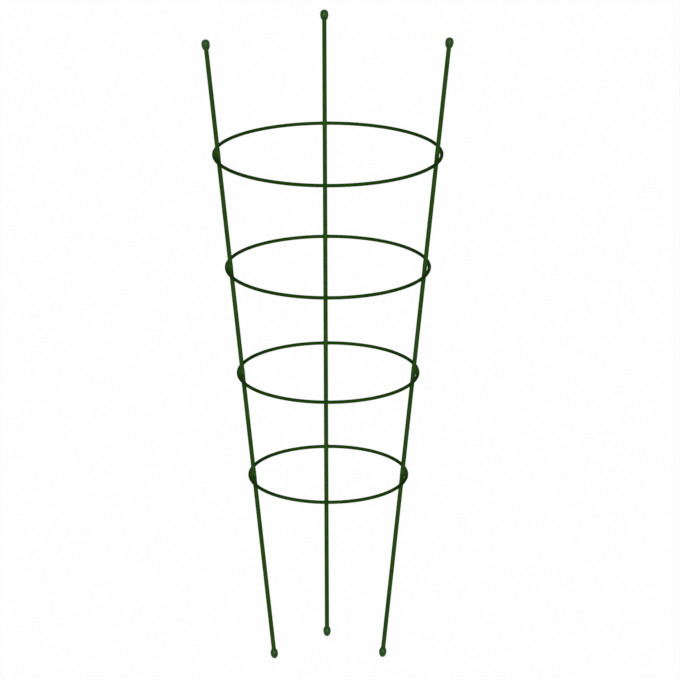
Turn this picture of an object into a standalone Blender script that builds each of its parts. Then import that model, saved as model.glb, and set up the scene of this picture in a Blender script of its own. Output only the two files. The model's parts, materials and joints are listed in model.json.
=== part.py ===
"""Ring plant support: a cone of three coated steel stakes and four coated wire rings.

Units are metres and +Z is up. The origin is on the ground, in the middle of the support's outline.
Each ring lies level, with its wire against the outer side of the three stakes. Two stakes stand at
the ends of a ring's width, left (-X) and right (+X), and the third stands behind them (+Y).
"""

from math import acos, atan, cos, pi, radians, sin

import bmesh
import bpy
from mathutils import Euler

# Rings, from the lowest one upwards
LOWEST_RING_OUTSIDE = 0.185
TOP_RING_OUTSIDE = 0.260
LOWEST_RING_HEIGHT = 0.231
RING_GAPS = (0.125, 0.127, 0.133)
RING_NAMES = ("bottom_ring", "third_ring", "second_ring", "top_ring")

# Stakes, by the side on which each one stands
STAKE_DIRECTIONS = {"left": radians(180), "right": radians(0), "back": radians(90)}
ROD_LENGTH = 0.743
ROD_DIAMETER = 0.0034
STAKE_COAT_WALL = 0.0005

# Ring wire and its coat
WIRE_DIAMETER = 0.0025
RING_COAT_WALL = 0.0004

# Welds between rings and rods
WELD_DIAMETER = 0.0020

# Clearance between touching pieces
CLEARANCE = 0.0003

# Caps pushed over the ends of the stakes. A fullness below 1 makes the ball's crown blunter
CAP_WALL = 0.0004
BALL_DIAMETER = 0.0095
BALL_CAP_LENGTH = 0.0120
BALL_CROWN = 0.0045
BALL_FULLNESS = 0.8
TIP_DIAMETER = 0.0089
TIP_LENGTH = 0.0112
TIP_FLOOR = 0.0042
TIP_WIDEST_HEIGHT = 0.0062
TIP_NOSE_TRIM = 0.0005

# Facets
RING_SEGMENTS = 64
RING_COAT_SIDES = 10
WIRE_SIDES = 6
STAKE_SIDES = 12
CAP_SIDES = 16
ARC_STEPS = 4
WELD_SIDES = 12
SHARP_ANGLE = radians(50)
MERGE_DISTANCE = 0.00001

# Finishes: colour, roughness, metallic
GREEN_COAT = ((0.022, 0.068, 0.012), 0.34, 0.0)
GREEN_CAP = ((0.030, 0.090, 0.016), 0.30, 0.0)
STEEL = ((0.42, 0.42, 0.40), 0.38, 1.0)
WELD_METAL = ((0.20, 0.19, 0.18), 0.55, 1.0)

# Sizes that follow from the ones above
ROD_RADIUS = ROD_DIAMETER / 2
STAKE_BORE_RADIUS = ROD_RADIUS + CLEARANCE
STAKE_RADIUS = STAKE_BORE_RADIUS + STAKE_COAT_WALL
WIRE_RADIUS = WIRE_DIAMETER / 2
RING_BORE_RADIUS = WIRE_RADIUS + CLEARANCE
RING_RADIUS = RING_BORE_RADIUS + RING_COAT_WALL
WELD_RADIUS = WELD_DIAMETER / 2
WINDOW_RADIUS = WELD_RADIUS + CLEARANCE
CAP_BORE_RADIUS = STAKE_RADIUS + CLEARANCE
CAP_RIM_RADIUS = CAP_BORE_RADIUS + CAP_WALL
JOINT_DISTANCE = STAKE_RADIUS + CLEARANCE + RING_RADIUS

LOWEST_RING_RADIUS = LOWEST_RING_OUTSIDE / 2 - RING_RADIUS
TOP_RING_RADIUS = TOP_RING_OUTSIDE / 2 - RING_RADIUS
CONE_SLOPE = (TOP_RING_RADIUS - LOWEST_RING_RADIUS) / sum(RING_GAPS)
LEAN = atan(CONE_SLOPE)
FOOT_RADIUS = LOWEST_RING_RADIUS - CONE_SLOPE * LOWEST_RING_HEIGHT - JOINT_DISTANCE / cos(LEAN)
ROD_START = TIP_FLOOR + CLEARANCE
ROD_END = ROD_START + ROD_LENGTH
BALL_CAP_TOP = ROD_END + CLEARANCE + BALL_CROWN


def ring_heights():
    """Height of each ring's wire above the ground, from the lowest ring upwards."""
    heights = [LOWEST_RING_HEIGHT]
    for gap in RING_GAPS:
        heights.append(heights[-1] + gap)
    return heights


def ring_centre_radius(height):
    """Radius of the circle through the middle of the wire, for a ring at this height."""
    return LOWEST_RING_RADIUS + CONE_SLOPE * (height - LOWEST_RING_HEIGHT)


def distance_up_stake(height):
    """Distance along a stake from the ground to its joint with the ring at this height."""
    return (height + JOINT_DISTANCE * sin(LEAN)) / cos(LEAN)


def rounded_towards_mouth(radius, length):
    """An arc of an ellipse from a cap's widest radius to its rim, as (radius, distance from the widest)."""
    end = acos(CAP_RIM_RADIUS / radius)
    angles = [end * step / ARC_STEPS for step in range(ARC_STEPS + 1)]
    return [(radius * cos(angle), length * sin(angle) / sin(end)) for angle in angles]


def ball_cap_profile():
    """Outline of a ball cap, down its outer side and up its bore, as (radius, distance up the stake)."""
    radius = BALL_DIAMETER / 2
    half = BALL_CAP_LENGTH / 2
    middle = BALL_CAP_TOP - half
    points = []
    for step in range(2 * ARC_STEPS):
        angle = pi / 2 * (1 - step / (2 * ARC_STEPS))
        points.append((radius * cos(angle) ** BALL_FULLNESS, middle + half * sin(angle) ** BALL_FULLNESS))
    points += [(reach, middle - down) for reach, down in rounded_towards_mouth(radius, half)]
    floor = BALL_CAP_TOP - BALL_CROWN
    return points + [(CAP_BORE_RADIUS, middle - half), (CAP_BORE_RADIUS, floor), (0, floor)]


def ground_tip_profile():
    """Outline of a ground tip, as (radius, distance up the stake), from its bore floor round to its nose."""
    radius = TIP_DIAMETER / 2
    shoulder = TIP_LENGTH - TIP_WIDEST_HEIGHT
    nose = TIP_WIDEST_HEIGHT + TIP_NOSE_TRIM
    points = [(0, TIP_FLOOR), (CAP_BORE_RADIUS, TIP_FLOOR), (CAP_BORE_RADIUS, TIP_LENGTH)]
    for reach, up in rounded_towards_mouth(radius, shoulder)[::-1]:
        points.append((reach, TIP_WIDEST_HEIGHT + up))
    for step in range(1, 2 * ARC_STEPS):
        angle = pi / 2 * step / (2 * ARC_STEPS)
        points.append((radius * cos(angle), TIP_WIDEST_HEIGHT - nose * sin(angle)))
    return points + [(0, -TIP_NOSE_TRIM)]


def outward_reach(profile):
    """Farthest distance from the cone's axis that a turned cap reaches on a leaning stake."""
    return max(FOOT_RADIUS + up * sin(LEAN) + radius * cos(LEAN) for radius, up in profile)


def axis_position():
    """Place of the cone's axis, which centres the whole outline on the origin."""
    front = TOP_RING_OUTSIDE / 2
    back = max(front, outward_reach(ball_cap_profile()))
    return (0, (front - back) / 2, 0)


def clear_scene():
    """Removes every object, so that only the support is in the file."""
    for obj in list(bpy.data.objects):
        bpy.data.objects.remove(obj)


def new_collection(name):
    """A collection linked to the scene."""
    collection = bpy.data.collections.new(name)
    bpy.context.scene.collection.children.link(collection)
    return collection


def new_material(name, finish):
    """A Principled material from a finish's colour, roughness and metallic value."""
    colour, roughness, metallic = finish
    material = bpy.data.materials.new(name)
    material.use_nodes = True
    shader = material.node_tree.nodes["Principled BSDF"]
    shader.inputs["Base Color"].default_value = (*colour, 1)
    shader.inputs["Roughness"].default_value = roughness
    shader.inputs["Metallic"].default_value = metallic
    material.diffuse_color = (*colour, 1)
    return material


def place(obj, parent, location=(0, 0, 0), rotation=(0, 0, 0)):
    """Puts an object under a parent, at a place in the parent's own frame."""
    obj.parent = parent
    obj.location = location
    obj.rotation_euler = Euler(rotation)
    return obj


def new_frame(name, location, rotation, parent=None):
    """An empty that carries pieces."""
    frame = bpy.data.objects.new(name, None)
    SUPPORT.objects.link(frame)
    return place(frame, parent, location, rotation)


def new_piece(name, mesh, finish):
    """A visible piece, smooth over its round sides, with its own material."""
    mesh.shade_smooth()
    mesh.set_sharp_from_angle(angle=SHARP_ANGLE)
    mesh.materials.append(new_material(name, finish))
    obj = bpy.data.objects.new(name, mesh)
    SUPPORT.objects.link(obj)
    return obj


def new_cutter(name, mesh):
    """A helper that only cuts other pieces."""
    obj = bpy.data.objects.new(name, mesh)
    CUTTERS.objects.link(obj)
    obj.hide_render = True
    obj.display_type = "WIRE"
    return obj


def cylinder_mesh(name, radius, length, sides):
    """A closed cylinder along Z, centred on the origin."""
    mesh = bpy.data.meshes.new(name)
    shape = bmesh.new()
    bmesh.ops.create_cone(
        shape, cap_ends=True, segments=sides, radius1=radius, radius2=radius, depth=length
    )
    shape.to_mesh(mesh)
    shape.free()
    return mesh


def torus_mesh(name, major, minor, sides):
    """A closed ring in the XY plane, centred on the origin."""
    bpy.ops.mesh.primitive_torus_add(
        major_segments=RING_SEGMENTS, minor_segments=sides, major_radius=major, minor_radius=minor
    )
    primitive = bpy.context.object
    mesh = primitive.data
    mesh.name = name
    bpy.data.objects.remove(primitive)
    return mesh


def outline_mesh(name, points, closed):
    """An outline in the XZ plane, for a turned shape."""
    edges = [(index, index + 1) for index in range(len(points) - 1)]
    if closed:
        edges.append((len(points) - 1, 0))
    mesh = bpy.data.meshes.new(name)
    mesh.from_pydata([(radius, 0, up) for radius, up in points], edges, [])
    return mesh


def turn(obj, sides):
    """Turns an outline once round Z."""
    screw = obj.modifiers.new("Turned", "SCREW")
    screw.steps = sides
    screw.render_steps = sides
    screw.use_merge_vertices = True
    screw.merge_threshold = MERGE_DISTANCE
    screw.use_normal_calculate = True
    screw.use_smooth_shade = True
    return obj


def cut(obj, cutter, label):
    """Cuts one shape out of a piece."""
    boolean = obj.modifiers.new(label, "BOOLEAN")
    boolean.operation = "DIFFERENCE"
    boolean.solver = "EXACT"
    boolean.object = cutter


def build_ground_cutter(parent):
    """A slab under the ground, reaching past all three feet, which gives each tip its flat."""
    width = 2 * (FOOT_RADIUS + TIP_LENGTH)
    mesh = bpy.data.meshes.new("ground_cutter")
    shape = bmesh.new()
    bmesh.ops.create_cube(shape, size=1)
    bmesh.ops.scale(shape, vec=(width, width, TIP_LENGTH), verts=shape.verts)
    shape.to_mesh(mesh)
    shape.free()
    return place(new_cutter("ground_cutter", mesh), parent, (0, 0, -TIP_LENGTH / 2))


def build_rings(parent):
    """The wire of each ring and the cutter for the bore of its coat, by the ring's name."""
    bores = {}
    for name, height in zip(RING_NAMES, ring_heights()):
        radius = ring_centre_radius(height)
        wire = new_piece(f"{name}_wire", torus_mesh(f"{name}_wire", radius, WIRE_RADIUS, WIRE_SIDES), STEEL)
        place(wire, parent, (0, 0, height))
        bore = new_cutter(f"{name}_bore", torus_mesh(f"{name}_bore", radius, RING_BORE_RADIUS, WIRE_SIDES))
        bores[name] = place(bore, parent, (0, 0, height))
    return bores


def build_ring_coats(parent, bores, windows):
    """The coat of each ring, hollow over its wire and open where its welds pass."""
    for name, height in zip(RING_NAMES, ring_heights()):
        mesh = torus_mesh(f"{name}_coat", ring_centre_radius(height), RING_RADIUS, RING_COAT_SIDES)
        coat = place(new_piece(f"{name}_coat", mesh, GREEN_COAT), parent, (0, 0, height))
        cut(coat, bores[name], "Wire bore")
        for side in STAKE_DIRECTIONS:
            cut(coat, windows[name, side], f"Window for the {side} weld")


def build_stake_frames(parent):
    """An empty on the ground at each stake, with its Z along the stake and its X pointing outwards."""
    frames = {}
    for side, direction in STAKE_DIRECTIONS.items():
        foot = (FOOT_RADIUS * cos(direction), FOOT_RADIUS * sin(direction), 0)
        frames[side] = new_frame(f"{side}_stake", foot, (0, LEAN, direction), parent)
    return frames


def build_rods(frames):
    """The steel rod of each stake and the cutter for the bore of its coat, by side."""
    bores = {}
    middle = (0, 0, (ROD_START + ROD_END) / 2)
    for side, frame in frames.items():
        name = f"{side}_stake_rod"
        place(new_piece(name, cylinder_mesh(name, ROD_RADIUS, ROD_LENGTH, STAKE_SIDES), STEEL), frame, middle)
        bore_mesh = cylinder_mesh(f"{side}_stake_bore", STAKE_BORE_RADIUS, ROD_LENGTH, STAKE_SIDES)
        bores[side] = place(new_cutter(f"{side}_stake_bore", bore_mesh), frame, middle)
    return bores


def build_windows(frames):
    """The cutters that open both coats at every joint, by ring and side."""
    windows = {}
    for ring, height in zip(RING_NAMES, ring_heights()):
        joint = (JOINT_DISTANCE / 2, 0, distance_up_stake(height))
        for side, frame in frames.items():
            name = f"{ring}_{side}_window"
            window = new_cutter(name, cylinder_mesh(name, WINDOW_RADIUS, JOINT_DISTANCE, WELD_SIDES))
            windows[ring, side] = place(window, frame, joint, (0, pi / 2, 0))
    return windows


def build_stake_coats(frames, windows):
    """The plastic coat of each stake, a sleeve with a window at each ring."""
    section = [
        (STAKE_RADIUS, ROD_END),
        (STAKE_RADIUS, ROD_START),
        (STAKE_BORE_RADIUS, ROD_START),
        (STAKE_BORE_RADIUS, ROD_END),
    ]
    for side, frame in frames.items():
        name = f"{side}_stake_coat"
        coat = new_piece(name, outline_mesh(name, section, closed=True), GREEN_COAT)
        place(turn(coat, STAKE_SIDES), frame)
        for ring in RING_NAMES:
            cut(coat, windows[ring, side], f"Window at the {ring}")


def build_welds(frames, stake_bores, ring_bores):
    """A short weld at every joint, saddled on the rod and on the ring's wire."""
    for ring, height in zip(RING_NAMES, ring_heights()):
        joint = (JOINT_DISTANCE / 2, 0, distance_up_stake(height))
        for side, frame in frames.items():
            name = f"{ring}_{side}_weld"
            weld = new_piece(name, cylinder_mesh(name, WELD_RADIUS, JOINT_DISTANCE, WELD_SIDES), WELD_METAL)
            place(weld, frame, joint, (0, pi / 2, 0))
            cut(weld, stake_bores[side], "Seat on the rod")
            cut(weld, ring_bores[ring], "Seat on the wire")


def build_caps(frames, ground):
    """The ball cap and the ground tip of each stake."""
    for side, frame in frames.items():
        ball_name = f"{side}_ball_cap"
        ball = new_piece(ball_name, outline_mesh(ball_name, ball_cap_profile(), closed=False), GREEN_CAP)
        place(turn(ball, CAP_SIDES), frame)
        tip_name = f"{side}_ground_tip"
        tip = new_piece(tip_name, outline_mesh(tip_name, ground_tip_profile()[::-1], closed=False), GREEN_CAP)
        place(turn(tip, CAP_SIDES), frame)
        cut(tip, ground, "Flat on the ground")


clear_scene()
SUPPORT = new_collection("ring_plant_support")
CUTTERS = new_collection("cutters")
axis = new_frame("cone_axis", axis_position(), (0, 0, 0))
stake_frames = build_stake_frames(axis)
ring_bore_cutters = build_rings(axis)
stake_bore_cutters = build_rods(stake_frames)
window_cutters = build_windows(stake_frames)
build_ring_coats(axis, ring_bore_cutters, window_cutters)
build_stake_coats(stake_frames, window_cutters)
build_welds(stake_frames, stake_bore_cutters, ring_bore_cutters)
build_caps(stake_frames, build_ground_cutter(axis))
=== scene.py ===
"""Looks of the ring plant support: its coats, joints, caps and tips, their finishes, the light and the view.

Units are metres and +Z is up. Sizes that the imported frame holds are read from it, and all others are
fields of the class that uses them. Each stake has a frame of its own, with Z up the stake from the
ground and X pointing away from the axis of the rings. A piece is modelled in the frame that suits it
and then placed, so that its object ends at the origin with its place in its mesh.
"""

import json
import logging
from collections.abc import Callable, Iterator
from contextlib import contextmanager
from dataclasses import dataclass
from enum import Enum
from math import acos, atan2, cos, hypot, pi, radians, sin

import bmesh
import bpy
from mathutils import Matrix, Vector

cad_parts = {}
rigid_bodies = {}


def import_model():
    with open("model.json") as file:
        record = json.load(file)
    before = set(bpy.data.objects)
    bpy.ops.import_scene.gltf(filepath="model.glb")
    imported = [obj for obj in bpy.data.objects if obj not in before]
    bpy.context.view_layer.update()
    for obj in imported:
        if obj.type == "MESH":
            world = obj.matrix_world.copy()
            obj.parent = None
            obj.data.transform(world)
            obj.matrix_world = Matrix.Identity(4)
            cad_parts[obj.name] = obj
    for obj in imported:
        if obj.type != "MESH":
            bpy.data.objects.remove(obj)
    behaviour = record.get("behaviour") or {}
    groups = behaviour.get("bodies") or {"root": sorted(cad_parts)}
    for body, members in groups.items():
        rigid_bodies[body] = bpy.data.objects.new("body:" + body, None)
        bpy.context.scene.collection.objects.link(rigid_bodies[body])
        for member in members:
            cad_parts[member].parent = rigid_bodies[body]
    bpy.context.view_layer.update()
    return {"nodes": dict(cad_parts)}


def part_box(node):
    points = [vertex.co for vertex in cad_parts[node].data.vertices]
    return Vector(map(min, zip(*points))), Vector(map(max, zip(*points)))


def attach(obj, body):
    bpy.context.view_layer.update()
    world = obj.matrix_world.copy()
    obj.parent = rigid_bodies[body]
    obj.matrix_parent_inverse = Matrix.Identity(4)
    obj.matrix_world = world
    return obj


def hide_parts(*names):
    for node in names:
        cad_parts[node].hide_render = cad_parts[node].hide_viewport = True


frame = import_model()

LOG = logging.getLogger("ring_plant_support")
MILLIMETRE = 0.001
WELD_DOUBLES = 0.000002
PLACE_DIGITS = 6
SHARP_EDGE = 40
EVERY_EDGE = 180
FACES_ALONG = 0.9
FACES_DOWN = 0.999
BODY = "root"

Piece = bpy.types.Object
Material = bpy.types.Material
Pair = tuple[float, float]
Triple = tuple[float, float, float]
Colour = Triple
Profile = list[Pair]


class Side(Enum):
    """The stakes, by the side on which each one stands."""

    LEFT = "left"
    RIGHT = "right"
    BACK = "back"


class Ring(Enum):
    """The rings, from the lowest one upwards."""

    BOTTOM = "bottom_ring"
    THIRD = "third_ring"
    SECOND = "second_ring"
    TOP = "top_ring"


class Slot(Enum):
    """The record's material slots."""

    STAKE_COAT = "stake_coat"
    RING_COAT = "ring_coat"
    END_CAP = "end_cap"


class Kind(Enum):
    """What a selection in edit mode is made of."""

    CORNER = "VERT"
    EDGE = "EDGE"
    FACE = "FACE"


MODEL_SIDE = Side.RIGHT


def corners(node: str) -> list[Vector]:
    """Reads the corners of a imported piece.

    Args:
        node: Name of the CAD node.

    Returns:
        Each corner once, in the row frame.
    """
    found = {}
    for vertex in frame["nodes"][node].data.vertices:
        found[tuple(round(value, PLACE_DIGITS) for value in vertex.co)] = vertex.co.copy()
    return list(found.values())


def smooth_step(value: float, low: float, high: float) -> float:
    """Rises smoothly from 0 up to the low value to 1 from the high value on."""
    share = min(1.0, max(0.0, (value - low) / (high - low)))
    return share * share * (3 - 2 * share)


class Bench:
    """Modelling moves that the sub-assemblies share, as they are made by hand."""

    @staticmethod
    def take(*pieces: Piece) -> None:
        """Selects these pieces and nothing else, and makes the last one active.

        Args:
            pieces: The pieces.
        """
        for other in bpy.context.view_layer.objects:
            other.select_set(False)
        for piece in pieces:
            piece.select_set(True)
            bpy.context.view_layer.objects.active = piece

    @staticmethod
    def named(name: str) -> Piece:
        """Names the primitive that was just added, and its mesh, and returns it."""
        piece = bpy.context.active_object
        piece.name = piece.data.name = name
        return piece

    @staticmethod
    @contextmanager
    def editing(piece: Piece) -> Iterator[None]:
        """Holds a piece in edit mode for the length of a with block.

        Args:
            piece: The piece.

        Yields:
            Nothing.
        """
        Bench.take(piece)
        bpy.ops.object.mode_set(mode="EDIT")
        yield
        bpy.ops.object.mode_set(mode="OBJECT")

    @staticmethod
    def pick(piece: Piece, kind: Kind, test: Callable[[object], bool]) -> None:
        """Selects what passes a test, in a piece that is in edit mode.

        Args:
            piece: The piece in edit mode.
            kind: Corners, edges or faces.
            test: Tells from a corner, an edge or a face whether it is wanted.
        """
        bpy.ops.mesh.select_mode(type=kind.value)
        bpy.ops.mesh.select_all(action="DESELECT")
        shape = bmesh.from_edit_mesh(piece.data)
        elements = {Kind.CORNER: shape.verts, Kind.EDGE: shape.edges, Kind.FACE: shape.faces}[kind]
        for element in [element for element in elements if test(element)]:
            element.select_set(True)
        bmesh.update_edit_mesh(piece.data)

    @staticmethod
    def modify(piece: Piece, kind: str, **settings: object) -> None:
        """Adds a modifier with these settings and applies it.

        Args:
            piece: The piece.
            kind: The modifier's type.
            settings: Its properties.
        """
        Bench.take(piece)
        modifier = piece.modifiers.new(kind.title(), kind)
        for name, value in settings.items():
            setattr(modifier, name, value)
        bpy.ops.object.modifier_apply(modifier=modifier.name)

    @staticmethod
    def place(piece: Piece, matrix: Matrix) -> None:
        """Moves a piece by a matrix and puts that place into its mesh."""
        Bench.take(piece)
        piece.matrix_world = matrix @ piece.matrix_world
        bpy.ops.object.transform_apply(location=True, rotation=True, scale=True)

    @staticmethod
    def copy(piece: Piece, name: str) -> Piece:
        """Copies a piece with a mesh of its own.

        Args:
            piece: The piece.
            name: Name of the copy.

        Returns:
            The copy.
        """
        twin = bpy.data.objects.new(name, piece.data.copy())
        twin.data.name = name
        bpy.context.scene.collection.objects.link(twin)
        return twin

    @staticmethod
    def join(name: str, *pieces: Piece) -> Piece:
        """Joins pieces into the last one, which takes the name."""
        Bench.take(*pieces)
        bpy.ops.object.join()
        return Bench.named(name)

    @staticmethod
    def remove(piece: Piece) -> None:
        """Removes a helper and its mesh."""
        mesh = piece.data
        bpy.data.objects.remove(piece)
        bpy.data.meshes.remove(mesh)

    @staticmethod
    def cut(place: "Vector | tuple", outward: "Vector | tuple") -> None:
        """Cuts off what lies beyond a plane, from a piece in edit mode, and closes the cut."""
        bpy.ops.mesh.select_all(action="SELECT")
        bpy.ops.mesh.bisect(
            plane_co=place, plane_no=outward, clear_outer=True, use_fill=True, threshold=WELD_DOUBLES
        )

    @staticmethod
    def smooth(piece: Piece, sharp: float = SHARP_EDGE) -> None:
        """Shades a piece smooth, except over edges sharper than this angle in degrees."""
        Bench.take(piece)
        bpy.ops.object.shade_smooth_by_angle(angle=radians(sharp))

    @staticmethod
    def turned(name: str, profile: Profile, sides: int) -> Piece:
        """Turns a closed shape from a profile.

        Args:
            name: Name of the piece.
            profile: Radius and height of each point, from the axis round to the axis.
            sides: Number of steps round the axis.

        Returns:
            The piece, in the frame of its own axis.
        """
        bpy.ops.mesh.primitive_plane_add(size=MILLIMETRE, location=(profile[0][0], 0, profile[0][1]))
        piece = Bench.named(name)
        Bench.place(piece, Matrix.Identity(4))
        with Bench.editing(piece):
            bpy.ops.mesh.select_mode(type="VERT")
            bpy.ops.mesh.select_all(action="SELECT")
            bpy.ops.mesh.merge(type="CENTER")
            for (radius, up), (next_radius, next_up) in zip(profile, profile[1:]):
                step = (next_radius - radius, 0, next_up - up)
                bpy.ops.mesh.extrude_region_move(TRANSFORM_OT_translate={"value": step})
            bpy.ops.mesh.select_all(action="SELECT")
            bpy.ops.mesh.spin(steps=sides, angle=2 * pi, center=(0, 0, 0), axis=(0, 0, 1))
            bpy.ops.mesh.select_all(action="SELECT")
            bpy.ops.mesh.remove_doubles(threshold=WELD_DOUBLES)
            bpy.ops.mesh.normals_make_consistent(inside=False)
        return piece


class Value:
    """A shader socket that stands in a Python expression, whose operators add Math nodes."""

    def __init__(self, nodes: "Nodes", socket: bpy.types.NodeSocket) -> None:
        """Holds a socket and the node tree that it is in."""
        self.nodes = nodes
        self.socket = socket

    def _math(self, operation: str, first: "Value | float", second: "Value | float") -> "Value":
        """Adds a Math node on two values and returns its result."""
        return self.nodes.add("ShaderNodeMath", {"operation": operation}, {0: first, 1: second})

    def __add__(self, other: "Value | float") -> "Value":
        """Adds another value."""
        return self._math("ADD", self, other)

    def __sub__(self, other: "Value | float") -> "Value":
        """Takes another value away."""
        return self._math("SUBTRACT", self, other)

    def __rsub__(self, other: "Value | float") -> "Value":
        """Is taken away from another value."""
        return self._math("SUBTRACT", other, self)

    def __mul__(self, other: "Value | float") -> "Value":
        """Is multiplied by another value."""
        return self._math("MULTIPLY", self, other)

    def at_most(self, other: "Value | float") -> "Value":
        """The smaller of this and another value."""
        return self._math("MINIMUM", self, other)

    def spread(self, width: float) -> "Value":
        """Turns this value, which goes from 0 to 1, into one that goes this far about 0."""
        return (self - 0.5) * width


class Nodes:
    """A node tree that is built node by node."""

    COLOUR_FIRST = 6
    COLOUR_SECOND = 7
    COLOUR_RESULT = 2

    def __init__(self, tree: bpy.types.NodeTree) -> None:
        """Empties a node tree to build in."""
        self.tree = tree
        self.tree.nodes.clear()

    def add(
        self,
        kind: str,
        settings: dict[str, object] | None = None,
        inputs: "dict[str | int, Value | float | tuple] | None" = None,
        output: str | int = 0,
    ) -> Value:
        """Adds one node.

        Args:
            kind: The node's type.
            settings: Its properties, set first.
            inputs: A value or a link for each socket that doesn't keep its default.
            output: The socket that the result comes from.

        Returns:
            The result as a value.
        """
        node = self.tree.nodes.new(kind)
        for name, setting in (settings or {}).items():
            setattr(node, name, setting)
        for name, given in (inputs or {}).items():
            if isinstance(given, Value):
                self.tree.links.new(given.socket, node.inputs[name])
            else:
                node.inputs[name].default_value = given
        return Value(self, node.outputs[output] if len(node.outputs) else None)

    def place(self) -> Value:
        """The point on the surface, in the row frame, in metres."""
        return self.add("ShaderNodeTexCoord", output="Object")

    def attribute(self, name: str, output: str) -> Value:
        """What a piece holds at each point under this name."""
        return self.add("ShaderNodeAttribute", {"attribute_name": name}, output=output)

    def noise(
        self, place: Value, size: float, detail: float = 3.0, offset: float = 0.0, scale: Triple = (1, 1, 1)
    ) -> Value:
        """Noise from 0 to 1 in patches of a size in metres, moved by an offset and drawn out by a scale."""
        inputs = {"Vector": place, "Location": (offset, offset, offset), "Scale": scale}
        moved = self.add("ShaderNodeMapping", {}, inputs)
        return self.add("ShaderNodeTexNoise", {}, {"Vector": moved, "Scale": 1 / size, "Detail": detail})

    def ramp(self, value: Value, low: float, high: float) -> Value:
        """Rises from 0 to 1 as a value goes from low to high, and stays there."""
        limits = {"Value": value, "From Min": low, "From Max": high}
        return self.add("ShaderNodeMapRange", {"interpolation_type": "SMOOTHSTEP"}, limits)

    def blend(self, share: Value, first: "Value | Colour", second: "Value | Colour") -> Value:
        """Goes from the first colour to the second as share goes from 0 to 1."""
        colours = {self.COLOUR_FIRST: self._opaque(first), self.COLOUR_SECOND: self._opaque(second)}
        settings = {"data_type": "RGBA", "clamp_factor": True}
        return self.add("ShaderNodeMix", settings, {"Factor": share, **colours}, self.COLOUR_RESULT)

    @staticmethod
    def _opaque(colour: "Value | Colour") -> "Value | tuple":
        """A colour with its alpha, or a link as it is."""
        return colour if isinstance(colour, Value) else (*colour, 1.0)

    def bump(self, height: Value, depth: float, under: Value | None = None) -> Value:
        """A normal that shows a height from 0 to 1 as a relief this deep, in metres, over another one."""
        base = {} if under is None else {"Normal": under}
        return self.add("ShaderNodeBump", {}, {"Height": height, "Distance": depth, "Strength": 1.0, **base})


def new_material(name: str) -> tuple[Material, Nodes]:
    """Makes an empty material and gives it back with its node tree."""
    material = bpy.data.materials.new(name)
    material.use_nodes = True
    return material, Nodes(material.node_tree)


def finish_surface(nodes: Nodes, fixed: dict[str, float], varied: dict[str, Value | tuple]) -> None:
    """Ends a material in a Principled shader, with even values and links that vary over it."""
    shader = nodes.add("ShaderNodeBsdfPrincipled", {}, {**fixed, **varied})
    nodes.add("ShaderNodeOutputMaterial", {}, {"Surface": shader})


@dataclass(frozen=True)
class CoatFinish:
    """Green plastic that a wire or a rod was dipped in: satin, slightly wavy, with faint lines along it."""

    name: str
    colour: Colour
    deep_colour: Colour
    roughness: float
    shine: float
    patch_size: float = 0.019
    patch_limits: Pair = (0.34, 0.66)
    patch_share: float = 0.45
    patch_roughness: float = 0.07
    specks_per_peel: int = 3
    speck_limits: Pair = (0.50, 0.68)
    speck_share: float = 0.35
    peel_size: float = 0.0014
    peel_depth: float = 0.000055
    line_size: float = 0.00045
    line_depth: float = 0.000016
    line_stretch: float = 0.01
    line_roughness: float = 0.10
    refraction: float = 1.2

    def skin(self, nodes: Nodes) -> tuple[Value, Value, Value]:
        """Reads what the coats and the joints have in common.

        Args:
            nodes: The material's node tree.

        Returns:
            The patches, the share of the deeper green and the height of the peel.
        """
        place = nodes.place()
        patches = nodes.ramp(nodes.noise(place, self.patch_size), *self.patch_limits)
        fine = nodes.noise(place, self.peel_size / self.specks_per_peel, detail=2.0, offset=0.4)
        specks = nodes.ramp(fine, *self.speck_limits)
        shade = (patches * self.patch_share + specks * self.speck_share).at_most(1.0)
        return patches, shade, nodes.noise(place, self.peel_size, detail=2.0, offset=0.2)

    def material(self) -> Material:
        """Builds the material.

        Returns:
            The material.
        """
        material, nodes = new_material(self.name)
        patches, shade, peel = self.skin(nodes)
        section = nodes.attribute("section", "Vector")
        lines = nodes.noise(section, self.line_size, detail=1.0, scale=(1, 1, self.line_stretch))
        uneven = patches.spread(self.patch_roughness) + lines.spread(self.line_roughness)
        finish_surface(
            nodes,
            {"Specular IOR Level": self.shine, "IOR": self.refraction},
            {
                "Base Color": nodes.blend(shade, self.colour, self.deep_colour),
                "Roughness": uneven + self.roughness,
                "Normal": nodes.bump(peel, self.peel_depth, nodes.bump(lines, self.line_depth)),
            },
        )
        return material


@dataclass(frozen=True)
class JointFinish:
    """The coat over a joint: the stake's green, the ring's green, and a paler green painted on as light where
    its fill would catch it.
    """

    name: str
    stake: CoatFinish
    ring: CoatFinish
    painted_light_colour: Colour

    def material(self) -> Material:
        """Builds the material.

        Returns:
            The material.
        """
        material, nodes = new_material(self.name)
        patches, shade, peel = self.stake.skin(nodes)
        ring_share = nodes.attribute("ring_share", "Fac")
        stake = nodes.blend(shade, self.stake.colour, self.stake.deep_colour)
        ring = nodes.blend(shade, self.ring.colour, self.ring.deep_colour)
        coat = nodes.blend(ring_share, stake, ring)
        # Painted light: a paler green is blended in where the joint's fill should look lit.
        colour = nodes.blend(nodes.attribute("painted_light_share", "Fac"), coat, self.painted_light_colour)
        rougher = ring_share * (self.ring.roughness - self.stake.roughness)
        roughness = patches.spread(self.stake.patch_roughness) + rougher + self.stake.roughness
        finish_surface(
            nodes,
            {"Specular IOR Level": self.stake.shine, "IOR": self.stake.refraction},
            {"Base Color": colour, "Roughness": roughness, "Normal": nodes.bump(peel, self.stake.peel_depth)},
        )
        return material


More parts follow.
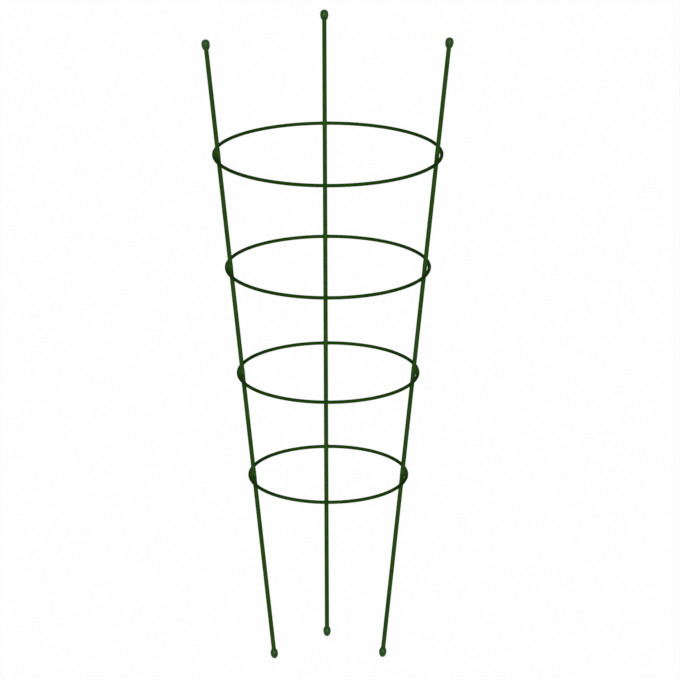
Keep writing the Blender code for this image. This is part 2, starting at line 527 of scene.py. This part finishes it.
@dataclass(frozen=True)
class CapFinish:
    """Green plastic that was injection moulded: glossier than the coat, with a fine even grain."""

    name: str
    colour: Colour
    deep_colour: Colour
    roughness: float
    grain_size: float = 0.00035
    grain_depth: float = 0.000012
    grain_roughness: float = 0.08
    flow_size: float = 0.0045
    flow_limits: Pair = (0.35, 0.70)
    flow_share: float = 0.8
    flow_roughness: float = 0.05
    shine: float = 0.76
    refraction: float = 1.3
    shine_colour: Colour = (0.50, 1.0, 0.45)

    def material(self) -> Material:
        """Builds the material.

        Returns:
            The material.
        """
        material, nodes = new_material(self.name)
        place = nodes.place()
        flow = nodes.ramp(nodes.noise(place, self.flow_size, detail=4.0), *self.flow_limits)
        grain = nodes.noise(place, self.grain_size, detail=2.0, offset=0.3)
        colour = nodes.blend(flow * self.flow_share, self.colour, self.deep_colour)
        roughness = flow.spread(self.flow_roughness) + grain.spread(self.grain_roughness) + self.roughness
        finish_surface(
            nodes,
            {
                "Specular IOR Level": self.shine,
                "Specular Tint": (*self.shine_colour, 1.0),
                "IOR": self.refraction,
            },
            {"Base Color": colour, "Roughness": roughness, "Normal": nodes.bump(grain, self.grain_depth)},
        )
        return material


@dataclass(frozen=True)
class SteelFinish:
    """Bare steel under the coat: drawn wire with fine streaks, or the duller metal of a weld."""

    name: str
    colour: Colour
    stain: Colour
    roughness: float
    streak_size: float
    streak_scale: Triple
    pit_depth: float
    streak_roughness: float = 0.25
    streaks_per_stain: int = 12
    stain_limits: Pair = (0.45, 0.75)
    stain_share: float = 0.7
    stain_roughness: float = 0.12

    def material(self) -> Material:
        """Builds the material.

        Returns:
            The material.
        """
        material, nodes = new_material(self.name)
        place = nodes.place()
        streaks = nodes.noise(place, self.streak_size, detail=4.0, scale=self.streak_scale)
        wide = nodes.noise(place, self.streak_size * self.streaks_per_stain, offset=0.7)
        stains = nodes.ramp(wide, *self.stain_limits)
        colour = nodes.blend(stains * self.stain_share, self.colour, self.stain)
        roughness = streaks.spread(self.streak_roughness) + stains * self.stain_roughness + self.roughness
        finish_surface(
            nodes,
            {"Metallic": 1.0},
            {"Base Color": colour, "Roughness": roughness, "Normal": nodes.bump(streaks, self.pit_depth)},
        )
        return material


STAKE_GREEN = CoatFinish("stake_coat", (0.0200, 0.083, 0.0050), (0.0120, 0.055, 0.0031), 0.56, 0.10)
RING_GREEN = CoatFinish("ring_coat", (0.0126, 0.0655, 0.0023), (0.0080, 0.048, 0.0014), 0.72, 0.05)
# The joint's last colour is painted light: a paler green for the lit look of the fill.
JOINT_GREEN = JointFinish("joint_coat", STAKE_GREEN, RING_GREEN, (0.038, 0.145, 0.014))
CAP_GREEN = CapFinish("end_cap", (0.0104, 0.055, 0.0014), (0.0062, 0.034, 0.0008), 0.36)
DRAWN_STEEL = SteelFinish(
    "drawn_steel", (0.47, 0.47, 0.45), (0.30, 0.28, 0.25), 0.34, 0.0006, (1.0, 1.0, 0.03), 0.000008
)
WELD_METAL = SteelFinish(
    "weld_metal", (0.25, 0.24, 0.23), (0.16, 0.11, 0.08), 0.52, 0.0004, (1.0, 1.0, 1.0), 0.00003
)


@dataclass(frozen=True)
class StakeLine:
    """Where one stake stands, read from its rod and coat."""

    place: Matrix
    rod_start: float
    rod_end: float
    coat_radius: float

    @classmethod
    def read(cls, side: Side, centre: Vector) -> "StakeLine":
        """Reads a stake from the frame.

        Args:
            side: Which stake.
            centre: A point on the axis of the rings.

        Returns:
            The stake's line.
        """
        points = sorted(corners(f"{side.value}_stake_rod"), key=lambda point: point.z)
        half = len(points) // 2
        low = sum(points[:half], Vector()) / half
        high = sum(points[half:], Vector()) / half
        along = (high - low).normalized()
        foot = low - along * (low.z / along.z)
        away = Vector((foot.x - centre.x, foot.y - centre.y, 0))
        outward = (away - along * away.dot(along)).normalized()
        turn = Matrix((outward, along.cross(outward), along)).transposed()
        place = Matrix.Translation(foot) @ turn.to_4x4()
        inward = place.inverted()
        coat = [inward @ point for point in corners(f"{side.value}_stake_coat")]
        radius = max(hypot(point.x, point.y) for point in coat)
        return cls(place, (low - foot).length, (high - foot).length, radius)


@dataclass(frozen=True)
class RingLine:
    """Where one ring lies, read from its wire and coat."""

    centre: Vector
    radius: float
    coat_radius: float

    @classmethod
    def read(cls, ring: Ring) -> "RingLine":
        """Reads a ring from the frame.

        Args:
            ring: Which ring.

        Returns:
            The ring's line.
        """
        low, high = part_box(f"{ring.value}_wire")
        centre = (low + high) / 2
        wire = [hypot(point.x - centre.x, point.y - centre.y) for point in corners(f"{ring.value}_wire")]
        coat = [hypot(point.x - centre.x, point.y - centre.y) for point in corners(f"{ring.value}_coat")]
        radius = (max(wire) + min(wire)) / 2
        return cls(centre, radius, max(coat) - radius)


@dataclass(frozen=True)
class Layout:
    """All the stakes and rings of the support, and the joints between them."""

    rings: dict[Ring, RingLine]
    stakes: dict[Side, StakeLine]

    @classmethod
    def read(cls) -> "Layout":
        """Reads the whole frame."""
        rings = {ring: RingLine.read(ring) for ring in Ring}
        centre = rings[Ring.BOTTOM].centre
        return cls(rings, {side: StakeLine.read(side, centre) for side in Side})

    @property
    def model_stake(self) -> StakeLine:
        """The stake that the joints and caps are modelled for, before they are copied to the others."""
        return self.stakes[MODEL_SIDE]

    def joint(self, ring: Ring, side: Side) -> Vector:
        """Finds a joint.

        Args:
            ring: The ring that is joined.
            side: The stake that it is joined to.

        Returns:
            The middle of the ring's wire at the joint, in the stake's own frame.
        """
        line = self.rings[ring]
        foot = self.stakes[side].place.translation
        away = Vector((foot.x - line.centre.x, foot.y - line.centre.y, 0)).normalized()
        return self.stakes[side].place.inverted() @ (line.centre + away * line.radius)

    def turn(self, ring: Ring, start: Side, end: Side) -> Matrix:
        """Turns a piece round the axis of the rings from one stake to another.

        Args:
            ring: A ring whose centre is on the axis.
            start: The stake that the piece was made for.
            end: The stake that it goes to.

        Returns:
            The turn, in the row frame.
        """
        centre = self.rings[ring].centre
        feet = [self.stakes[side].place.translation - centre for side in (start, end)]
        angle = atan2(feet[1].y, feet[1].x) - atan2(feet[0].y, feet[0].x)
        middle = Matrix.Translation(centre)
        return middle @ Matrix.Rotation(angle, 4, "Z") @ middle.inverted()


def hand_over(piece: Piece, slot: Slot, material: Material, *nodes: str) -> None:
    """Args:
        piece: The piece, with its place in its mesh.
        slot: The record's slot that its finish belongs to; it is not used.
        material: Its material.
        nodes: The CAD nodes that it stands for.
    """
    piece.data.materials.clear()
    piece.data.materials.append(material)
    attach(piece, BODY)
    if nodes:
        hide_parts(*nodes)
    LOG.info("%s: %d faces, for %s", piece.name, len(piece.data.polygons), ", ".join(nodes) or "no node")


def mark_section(piece: Piece, reader: Callable[[Vector], Triple]) -> None:
    """Stores at each corner where it lies across and along the wire, for lines that follow the wire."""
    section = piece.data.attributes.new("section", "FLOAT_VECTOR", "POINT")
    for corner, value in zip(piece.data.vertices, section.data):
        value.vector = reader(corner.co)


@dataclass
class Coats:
    """The plastic coats of the stakes and of the rings: sleeves with a bore, and a window at each weld."""

    layout: Layout
    stake_sides: int = 40
    stake_rings: int = 150
    stake_wall: float = 0.0005
    ring_segments: int = 224
    ring_sides: int = 24
    ring_wall: float = 0.0004
    window_radius: float = 0.0013
    window_sides: int = 32
    edge_round: float = 0.00012
    edge_segments: int = 3
    edge_angle: float = 60.0
    wave_size: float = 0.009
    wave_height: float = 0.00003

    def build(self) -> None:
        """Builds and dresses all the coats."""
        stake_material = STAKE_GREEN.material()
        for side in Side:
            hand_over(self._stake_coat(side), Slot.STAKE_COAT, stake_material, f"{side.value}_stake_coat")
        ring_material = RING_GREEN.material()
        for ring in Ring:
            hand_over(self._ring_coat(ring), Slot.RING_COAT, ring_material, f"{ring.value}_coat")

    def _stake_coat(self, side: Side) -> Piece:
        """Models the coat of one stake.

        Args:
            side: Which stake.

        Returns:
            The coat, in place.
        """
        line = self.layout.stakes[side]
        length = line.rod_end - line.rod_start
        bpy.ops.mesh.primitive_cylinder_add(
            vertices=self.stake_sides,
            radius=line.coat_radius,
            depth=length,
            end_fill_type="NOTHING",
            location=(0, 0, line.rod_start + length / 2),
        )
        coat = Bench.named(f"{side.value}_coat")
        Bench.place(coat, Matrix.Identity(4))
        with Bench.editing(coat):
            Bench.pick(coat, Kind.EDGE, lambda edge: edge.calc_length() > length / 2)
            bpy.ops.mesh.subdivide(number_cuts=self.stake_rings)
        mark_section(coat, tuple)
        Bench.place(coat, line.place)
        self._wave(coat)
        self._hollow(coat, self.stake_wall)
        for ring in Ring:
            self._open_window(coat, ring, side)
        Bench.smooth(coat)
        return coat

    def _ring_coat(self, ring: Ring) -> Piece:
        """Models the coat of one ring.

        Args:
            ring: Which ring.

        Returns:
            The coat, in place.
        """
        line = self.layout.rings[ring]
        bpy.ops.mesh.primitive_torus_add(
            major_segments=self.ring_segments,
            minor_segments=self.ring_sides,
            major_radius=line.radius,
            minor_radius=line.coat_radius,
            location=line.centre,
        )
        coat = Bench.named(f"{ring.value}_sleeve")
        Bench.place(coat, Matrix.Identity(4))

        def across(point: Vector) -> Triple:
            """How far out and how far up a point lies from the middle of the wire."""
            out = hypot(point.x - line.centre.x, point.y - line.centre.y) - line.radius
            return (out, point.z - line.centre.z, 0.0)

        mark_section(coat, across)
        self._wave(coat)
        self._hollow(coat, self.ring_wall)
        for side in Side:
            self._open_window(coat, ring, side)
        Bench.smooth(coat)
        return coat

    def _wave(self, coat: Piece) -> None:
        """Gives a coat the slight waves of dipped plastic.

        Args:
            coat: The coat, still without a wall.
        """
        waves = bpy.data.textures.new("waves", "CLOUDS")
        waves.noise_scale = self.wave_size
        waves.noise_depth = 1
        Bench.modify(coat, "DISPLACE", texture=waves, texture_coords="GLOBAL", strength=self.wave_height)
        bpy.data.textures.remove(waves)

    def _hollow(self, coat: Piece, wall: float) -> None:
        """Gives a coat its wall and rounds the edges of its ends."""
        Bench.modify(coat, "SOLIDIFY", thickness=wall, offset=-1.0, use_even_offset=True)
        limit = {"limit_method": "ANGLE", "angle_limit": radians(self.edge_angle)}
        Bench.modify(coat, "BEVEL", width=self.edge_round, segments=self.edge_segments, **limit)

    def _open_window(self, coat: Piece, ring: Ring, side: Side) -> None:
        """Cuts the opening that a weld passes through.

        Args:
            coat: The coat to cut.
            ring: The ring of the joint.
            side: The stake of the joint.
        """
        joint = self.layout.joint(ring, side)
        bpy.ops.mesh.primitive_cylinder_add(
            vertices=self.window_sides,
            radius=self.window_radius,
            depth=joint.x,
            location=(joint.x / 2, 0, joint.z),
            rotation=(0, pi / 2, 0),
        )
        cutter = Bench.named("window")
        Bench.place(cutter, self.layout.stakes[side].place)
        Bench.modify(coat, "BOOLEAN", operation="DIFFERENCE", solver="EXACT", object=cutter)
        Bench.remove(cutter)


@dataclass(frozen=True)
class Flow:
    """How far the plastic ran at a joint, in metres, and how far and how strongly painted light, a paler
    green, lies on the stake and on the ring.
    """

    web_height: float
    web_start: float
    web_at_stake: float
    web_at_ring: float
    along_ring: float
    painted_along_stake: float
    painted_on_stake: float
    painted_on_ring: float


# The last three numbers of each flow set the painted light: how far along the stake, and how strong on the
# stake and on the ring.
LEAN_FLOW = Flow(0.0011, 0.0, 0.0018, 0.0032, 0.0042, 0.0024, 0.3, 0.0)
FULL_FLOW = Flow(0.0020, 0.0016, 0.0130, 0.0200, 0.0180, 0.0050, 0.4, 0.95)


@dataclass
class Joints:
    """The plastic that fills the crossing of a ring and a stake, one skin over the weld and both coats."""

    layout: Layout
    build_up: float = 0.00013
    sink: float = 0.00011
    stake_reach: float = 0.0034
    taper: float = 0.0040
    sides: int = 48
    ring_segments: int = 512
    ring_sides: int = 40
    voxel: float = 0.00017
    smoothing: int = 26
    smoothing_step: float = 0.5
    green_blend: float = 0.0006
    # How the painted light, a paler green, spreads over the fill and the ring.
    painted_fill_depth: float = 0.0005
    painted_inside: float = 0.8
    painted_fade: Pair = (0.65, 1.15)

    def build(self) -> None:
        """Builds and dresses the joints: a lean and a full one at each ring, copied to its stakes."""
        material = JOINT_GREEN.material()
        for ring in Ring:
            for flow in (LEAN_FLOW, FULL_FLOW):
                model = self._model(ring, flow)
                for side in Side:
                    if self._flow(ring, side) is flow:
                        joint = Bench.copy(model, f"{ring.value}_{side.value}_joint")
                        Bench.place(joint, self.layout.turn(ring, MODEL_SIDE, side))
                        hand_over(joint, Slot.STAKE_COAT, material)
                Bench.remove(model)

    def _flow(self, ring: Ring, side: Side) -> Flow:
        """Full on the left and, on the two lower rings, on the right, and lean at all other joints."""
        full = side is Side.LEFT or (side is Side.RIGHT and ring in (Ring.BOTTOM, Ring.THIRD))
        return FULL_FLOW if full else LEAN_FLOW

    def _model(self, ring: Ring, flow: Flow) -> Piece:
        """Models a joint at the right stake: stubs along stake and ring and a web between, melted together.

        Args:
            ring: The ring that is joined.
            flow: How far its plastic ran.

        Returns:
            The joint.
        """
        stubs = (self._stake_stub(ring), self._ring_stub(ring, flow))
        joint = Bench.join("joint", self._web(ring, flow), *stubs)
        Bench.modify(joint, "REMESH", mode="VOXEL", voxel_size=self.voxel, adaptivity=0.0)
        Bench.modify(joint, "SMOOTH", factor=self.smoothing_step, iterations=self.smoothing)
        self._mark_greens(joint, ring, flow)
        Bench.smooth(joint, EVERY_EDGE)
        return joint

    def _mark_greens(self, joint: Piece, ring: Ring, flow: Flow) -> None:
        """Stores at each corner how far it belongs to the ring, and how much painted light, a paler green, it
        gets.

        Args:
            joint: The joint.
            ring: Its ring.
            flow: How far its plastic ran.
        """
        stake, line = self.layout.model_stake, self.layout.rings[ring]
        inward = stake.place.inverted()
        height = self.layout.joint(ring, MODEL_SIDE).z
        fade = [flow.along_ring * share for share in self.painted_fade]
        ring_share = joint.data.attributes.new("ring_share", "FLOAT", "POINT")
        painted_light_share = joint.data.attributes.new("painted_light_share", "FLOAT", "POINT")
        for corner, share, painted_value in zip(joint.data.vertices, ring_share.data, painted_light_share.data):
            local = inward @ corner.co
            off_stake = hypot(local.x, local.y) - stake.coat_radius
            out = hypot(corner.co.x - line.centre.x, corner.co.y - line.centre.y) - line.radius
            off_ring = hypot(out, corner.co.z - line.centre.z) - line.coat_radius
            share.value = smooth_step(off_stake - off_ring, -self.green_blend, self.green_blend)
            # Painted light: paler in the fill between the two coats, beside the joint on the stake, and on
            # the ring's inner side near the joint, where the fill should look lit.
            between = smooth_step(min(off_stake, off_ring), 0, self.painted_fill_depth)
            beside = 1 - smooth_step(abs(local.z - height), 0, flow.painted_along_stake)
            inner = 1 - smooth_step(out, 0, line.coat_radius * self.painted_inside)
            along = 1 - smooth_step(abs(corner.co.y - line.centre.y), *fade)
            painted_by_stake = beside * flow.painted_on_stake * (1 - share.value)
            painted_by_ring = inner * along * flow.painted_on_ring * share.value
            painted_value.value = max(between, painted_by_stake, painted_by_ring)

    def _stake_stub(self, ring: Ring) -> Piece:
        """Models the sleeve along the stake, whose ends dive under the coat.

        Args:
            ring: The ring of the joint.

        Returns:
            The sleeve, in place.
        """
        line = self.layout.model_stake
        up = self.layout.joint(ring, MODEL_SIDE).z
        radius = line.coat_radius + self.build_up
        bpy.ops.mesh.primitive_cylinder_add(
            vertices=self.sides, radius=radius, depth=2 * self.stake_reach, location=(0, 0, up)
        )
        stub = Bench.named("stake_stub")
        Bench.place(stub, Matrix.Identity(4))
        with Bench.editing(stub):
            for end in (-1, 1):
                Bench.pick(stub, Kind.FACE, lambda face: face.normal.z * end > FACES_ALONG)
                pivot = (0, 0, up + end * (self.stake_reach + self.taper))
                self._taper((0, 0, end * self.taper), pivot, radius)
        Bench.place(stub, line.place)
        return stub

    def _ring_stub(self, ring: Ring, flow: Flow) -> Piece:
        """Models the sleeve along the ring at the right stake, whose ends dive under the coat.

        Args:
            ring: The ring of the joint.
            flow: How far its plastic ran.

        Returns:
            The sleeve, in place.
        """
        line = self.layout.rings[ring]
        radius = line.coat_radius + self.build_up
        bpy.ops.mesh.primitive_torus_add(
            major_segments=self.ring_segments,
            minor_segments=self.ring_sides,
            major_radius=line.radius,
            minor_radius=radius,
            location=line.centre,
        )
        stub = Bench.named("ring_stub")
        Bench.place(stub, Matrix.Identity(4))
        bend = flow.along_ring / line.radius
        with Bench.editing(stub):
            for end, direction in ((line.centre, (-1, 0, 0)), *self._ends(line, bend)):
                Bench.cut(end, direction)
            for end, direction in self._ends(line, bend):
                way = Vector(direction)
                Bench.pick(stub, Kind.FACE, lambda face: face.normal.dot(way) > FACES_ALONG)
                self._taper(way * self.taper, Vector(end) + way * self.taper, radius)
        return stub

    @staticmethod
    def _ends(line: RingLine, bend: float) -> list[tuple[Vector, Vector]]:
        """Finds the two ends of the sleeve on a ring.

        Args:
            line: The ring.
            bend: The angle from the joint to each end.

        Returns:
            The middle of the wire at each end, and the way that it runs out there.
        """
        ends = []
        for way in (-1, 1):
            angle = way * bend
            middle = line.centre + Vector((cos(angle), sin(angle), 0)) * line.radius
            ends.append((middle, Vector((-sin(angle), cos(angle), 0)) * way))
        return ends

    def _taper(self, step: "Vector | tuple", pivot: "Vector | tuple", radius: float) -> None:
        """Draws the selected end out to a new middle and narrows it until it lies under the coat."""
        share = (radius - self.build_up - self.sink) / radius
        bpy.ops.mesh.extrude_region_move(TRANSFORM_OT_translate={"value": tuple(step)})
        bpy.ops.transform.resize(value=(share, share, share), center_override=tuple(pivot))

    def _web(self, ring: Ring, flow: Flow) -> Piece:
        """Models the plastic between the stake and the ring, which widens towards the ring.

        Args:
            ring: The ring of the joint.
            flow: How far its plastic ran.

        Returns:
            The web, in place.
        """
        joint = self.layout.joint(ring, MODEL_SIDE)
        depth = joint.x - flow.web_start
        bpy.ops.mesh.primitive_cylinder_add(
            vertices=self.sides,
            radius=flow.web_height,
            depth=depth,
            location=(flow.web_start + depth / 2, 0, joint.z),
            rotation=(0, pi / 2, 0),
        )
        web = Bench.named("web")
        Bench.place(web, Matrix.Identity(4))
        with Bench.editing(web):
            for place, reach in ((flow.web_start, flow.web_at_stake), (joint.x, flow.web_at_ring)):
                Bench.pick(web, Kind.CORNER, lambda corner: abs(corner.co.x - place) < depth / 4)
                wider = reach / flow.web_height
                bpy.ops.transform.resize(value=(1, wider, 1), center_override=(place, 0, joint.z))
        Bench.place(web, self.layout.model_stake.place)
        return web


@dataclass
class Caps:
    """The ball caps on the tops of the stakes and the tips on their feet, both moulded in two halves."""

    layout: Layout
    sides: int = 72
    arc_steps: int = 16
    bore_gap: float = 0.0003
    lip_gap: float = 0.00004
    lip_round: float = 0.00013
    lip_steps: int = 4
    crown_fullness: float = 0.8
    gate_radius: float = 0.0007
    gate_depth: float = 0.00009
    gate_shape: tuple[Pair, ...] = ((0.0, 1.0), (0.75, 1.0), (0.92, 0.6))
    seam_start: float = 1.5
    seam_inside: float = 0.0001
    seam_width: float = 0.00011
    seam_segments: int = 2
    seam_height: float = 0.00007
    nose_trim: float = 0.0006
    foot_round: float = 0.00018
    foot_segments: int = 3
    foot_depth: float = 0.0001

    def build(self) -> None:
        """Builds and dresses the caps: each kind is modelled once, and copied to every stake."""
        material = CAP_GREEN.material()
        turns = {Side.LEFT: radians(35), Side.RIGHT: radians(-50), Side.BACK: radians(80)}
        ball = self._ball()
        tip = self._tip()
        for side in Side:
            place = self.layout.stakes[side].place @ Matrix.Rotation(turns[side], 4, "Z")
            ball_cap = Bench.copy(ball, f"{side.value}_ball")
            Bench.place(ball_cap, place)
            hand_over(ball_cap, Slot.END_CAP, material, f"{side.value}_ball_cap")
            ground_tip = Bench.copy(tip, f"{side.value}_tip")
            Bench.place(ground_tip, place)
            self._cut_foot(ground_tip)
            hand_over(ground_tip, Slot.END_CAP, material, f"{side.value}_ground_tip")
        Bench.remove(ball)
        Bench.remove(tip)

    def _points(self, node: str) -> Profile:
        """Reads the right stake's cap, as a radius and a height up the stake for each corner."""
        inward = self.layout.model_stake.place.inverted()
        local = [inward @ point for point in corners(f"{MODEL_SIDE.value}_{node}")]
        return [(hypot(point.x, point.y), point.z) for point in local]

    def _rim(self) -> float:
        """Outer radius of a cap's mouth, whose lip closes round the coat."""
        return self.layout.model_stake.coat_radius + self.lip_gap + 2 * self.lip_round

    def _to_mouth(self, radius: float, length: float) -> Profile:
        """A cap's side from its widest place to its mouth: radii, and distances along the stake."""
        end = acos(self._rim() / radius)
        angles = [end * step / self.arc_steps for step in range(self.arc_steps)]
        return [(radius * cos(angle), length * sin(angle) / sin(end)) for angle in angles]

    def _mouth(self, height: float, way: int) -> Profile:
        """The rounded lip at the mouth of a cap, from its outer side to its bore.

        Args:
            height: Height of the mouth up the stake.
            way: 1 where the mouth opens upwards, and -1 where it opens downwards.

        Returns:
            The points of the lip.
        """
        coat = self.layout.model_stake.coat_radius
        inner = coat + self.lip_gap
        bend = self.lip_round
        angles = [pi / 2 * step / self.lip_steps for step in range(self.lip_steps + 1)]
        points = [(self._rim() - bend + bend * cos(a), height + way * bend * (sin(a) - 1)) for a in angles]
        points += [(inner + bend - bend * sin(a), height + way * bend * (cos(a) - 1)) for a in angles]
        return [*points, (inner, height - way * 2 * bend), (coat + self.bore_gap, height - way * 4 * bend)]

    def _ball(self) -> Piece:
        """Models a ball cap in the frame of a stake.

        Returns:
            The cap.
        """
        points = self._points("ball_cap")
        radius = max(reach for reach, _ in points)
        top = max(up for _, up in points)
        mouth = min(up for _, up in points)
        bore = self.layout.model_stake.coat_radius + self.bore_gap
        floor = self.layout.model_stake.rod_end + self.bore_gap
        middle = (top + mouth) / 2
        half = (top - mouth) / 2
        start = acos((self.gate_radius / radius) ** (1 / self.crown_fullness))
        gate_top = middle + half * sin(start) ** self.crown_fullness
        outline = [
            (self.gate_radius * out, gate_top - self.gate_depth * down) for out, down in self.gate_shape
        ]
        for step in range(self.arc_steps):
            angle = start * (1 - step / self.arc_steps)
            reach = radius * cos(angle) ** self.crown_fullness
            outline.append((reach, middle + half * sin(angle) ** self.crown_fullness))
        outline += [(reach, middle - down) for reach, down in self._to_mouth(radius, half)]
        outline += self._mouth(mouth, -1)
        outline += [(bore, floor), (0.0, floor)]
        ball = Bench.turned("ball", outline, self.sides)
        self._raise_seam(ball, bore)
        Bench.smooth(ball)
        return ball

    def _tip(self) -> Piece:
        """Models a ground tip in the frame of a stake, with its nose still whole.

        Returns:
            The tip.
        """
        points = self._points("ground_tip")
        radius = max(reach for reach, _ in points)
        widest = next(up for reach, up in points if reach > radius - MILLIMETRE / 100)
        mouth = max(up for _, up in points)
        bore = self.layout.model_stake.coat_radius + self.bore_gap
        floor = self.layout.model_stake.rod_start - self.bore_gap
        nose = widest + self.nose_trim
        outline = [(0.0, -self.nose_trim)]
        for step in range(1, self.arc_steps + 1):
            angle = pi / 2 * (1 - step / self.arc_steps)
            outline.append((radius * cos(angle), widest - nose * sin(angle)))
        outline += [(reach, widest + up) for reach, up in self._to_mouth(radius, mouth - widest)[1:]]
        outline += self._mouth(mouth, 1)
        outline += [(bore, floor), (0.0, floor)]
        tip = Bench.turned("tip", outline, self.sides)
        self._raise_seam(tip, bore)
        return tip

    def _raise_seam(self, cap: Piece, bore: float) -> None:
        """Raises the fine line that the two halves of the mould leave down the outside.

        Args:
            cap: The cap or tip, in the frame of a stake.
            bore: Radius of its bore.
        """
        inner = bore + self.seam_inside
        start = self.gate_radius * self.seam_start

        def on_seam(corner: bmesh.types.BMVert) -> bool:
            """Whether a corner lies on the outside where the halves of the mould met, clear of the gate."""
            outside = corner.normal.x * corner.co.x > 0
            return outside and abs(corner.co.y) < WELD_DOUBLES and abs(corner.co.x) > start

        def in_seam(edge: bmesh.types.BMEdge) -> bool:
            """Whether an edge lies there and reaches out past the bore."""
            reach = max(abs(end.co.x) for end in edge.verts)
            return reach > inner and all(on_seam(end) for end in edge.verts)

        with Bench.editing(cap):
            Bench.pick(cap, Kind.EDGE, in_seam)
            bpy.ops.mesh.bevel(offset=self.seam_width, segments=self.seam_segments, affect="EDGES")
            Bench.pick(cap, Kind.CORNER, lambda corner: on_seam(corner) and abs(corner.co.x) > inner)
            bpy.ops.transform.shrink_fatten(value=self.seam_height)

    def _cut_foot(self, tip: Piece) -> None:
        """Cuts a tip flat on the ground and rounds the edge of the flat.

        Args:
            tip: The tip, in place.
        """

        def underneath(face: bmesh.types.BMFace) -> bool:
            """Whether a face is the flat that the cut left."""
            return face.normal.z < -FACES_DOWN and face.calc_center_median().z < self.foot_depth

        with Bench.editing(tip):
            Bench.cut((0, 0, 0), (0, 0, -1))
            Bench.pick(tip, Kind.FACE, underneath)
            bpy.ops.mesh.select_mode(type="EDGE")
            bpy.ops.mesh.region_to_loop()
            bpy.ops.mesh.bevel(offset=self.foot_round, segments=self.foot_segments, affect="EDGES")
        Bench.smooth(tip)


@dataclass
class SteelCore:
    """The rods, wires and welds, which are the CAD model's own pieces."""

    def build(self) -> None:
        """Dresses every steel piece."""
        drawn = DRAWN_STEEL.material()
        weld = WELD_METAL.material()
        for side in Side:
            self._dress(f"{side.value}_stake_rod", drawn)
        for ring in Ring:
            self._dress(f"{ring.value}_wire", drawn)
            for side in Side:
                self._dress(f"{ring.value}_{side.value}_weld", weld)

    def _dress(self, node: str, material: Material) -> None:
        """Gives a CAD node its material."""
        for slot in frame["nodes"][node].material_slots:
            slot.material = material
        LOG.info("%s: %s", node, material.name)


@dataclass
class Studio:
    """A plain pale floor, soft light from the front and above, and the view of the photograph."""

    camera_place: Triple = (-0.1117, -3.9403, 1.7359)
    camera_pitch: float = 18.815
    camera_roll: float = 0.02
    camera_yaw: float = -1.831
    camera_lens: float = 192.6
    camera_sensor: float = 36.0
    camera_clip: Pair = (0.1, 100.0)
    floor_width: float = 60.0
    floor_colour: float = 0.60
    floor_glow: float = 0.985
    ambient: float = 0.06
    key_strength: float = 2.5
    key_spread: float = 28.0
    key_height: float = 12.0
    key_side: float = -2.0

    def build(self) -> None:
        """Sets up the floor, the sky, the lamp and the camera."""
        self._floor()
        self._sky()
        self._key()
        self._camera()
        bpy.context.scene.view_settings.view_transform = "Standard"

    def _seen(self, nodes: Nodes) -> Value:
        """1 for a ray that shows the background: straight, in a reflection or through glass."""
        names = ("Is Camera Ray", "Is Glossy Ray", "Is Transmission Ray")
        camera, glossy, clear = [nodes.add("ShaderNodeLightPath", output=name) for name in names]
        return (camera + glossy + clear).at_most(1.0)

    def _floor(self) -> None:
        """Lays the floor: white where it is seen, with the support's shadow kept in part of its light."""
        bpy.ops.mesh.primitive_plane_add(size=self.floor_width)
        floor = Bench.named("floor")
        material, nodes = new_material("floor")
        level = self.floor_colour
        matt = nodes.add("ShaderNodeBsdfDiffuse", {}, {"Color": (level, level, level, 1)})
        glow = nodes.add("ShaderNodeEmission", {}, {"Color": (1, 1, 1, 1), "Strength": 1.0})
        share = self._seen(nodes) * self.floor_glow
        surface = nodes.add("ShaderNodeMixShader", {}, {0: share, 1: matt, 2: glow})
        nodes.add("ShaderNodeOutputMaterial", {}, {"Surface": surface})
        floor.data.materials.append(material)

    def _sky(self) -> None:
        """Makes the surroundings: white where they are seen, and a low even light elsewhere."""
        world = bpy.data.worlds.new("studio")
        world.use_nodes = True
        nodes = Nodes(world.node_tree)
        seen = self._seen(nodes)
        strength = seen + (1 - seen) * self.ambient
        light = nodes.add("ShaderNodeBackground", {}, {"Color": (1, 1, 1, 1), "Strength": strength})
        nodes.add("ShaderNodeOutputWorld", {}, {"Surface": light})
        bpy.context.scene.world = world

    def _key(self) -> None:
        """Hangs the one lamp, far and wide like a large soft box, over the camera."""
        side, height = radians(self.key_side), radians(self.key_height)
        away = Vector((sin(side) * cos(height), -cos(side) * cos(height), sin(height)))
        bpy.ops.object.light_add(type="SUN", location=away)
        lamp = bpy.context.active_object
        lamp.name = "key"
        lamp.data.energy = self.key_strength
        lamp.data.angle = radians(self.key_spread)
        lamp.rotation_euler = away.to_track_quat("Z", "Y").to_euler()

    def _camera(self) -> None:
        """Stands the camera where the photograph was taken from."""
        turn = (radians(90 - self.camera_pitch), radians(self.camera_roll), radians(self.camera_yaw))
        bpy.ops.object.camera_add(location=self.camera_place, rotation=turn)
        camera = bpy.context.active_object
        camera.data.lens = self.camera_lens
        camera.data.sensor_width = self.camera_sensor
        camera.data.clip_start, camera.data.clip_end = self.camera_clip
        bpy.context.scene.camera = camera


def main() -> None:
    """Builds the support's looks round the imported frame."""
    logging.basicConfig(level=logging.INFO, format="%(message)s")
    Bench.take()
    layout = Layout.read()
    SteelCore().build()
    Coats(layout).build()
    Joints(layout).build()
    Caps(layout).build()
    Studio().build()


if __name__ == "__main__":
    main()
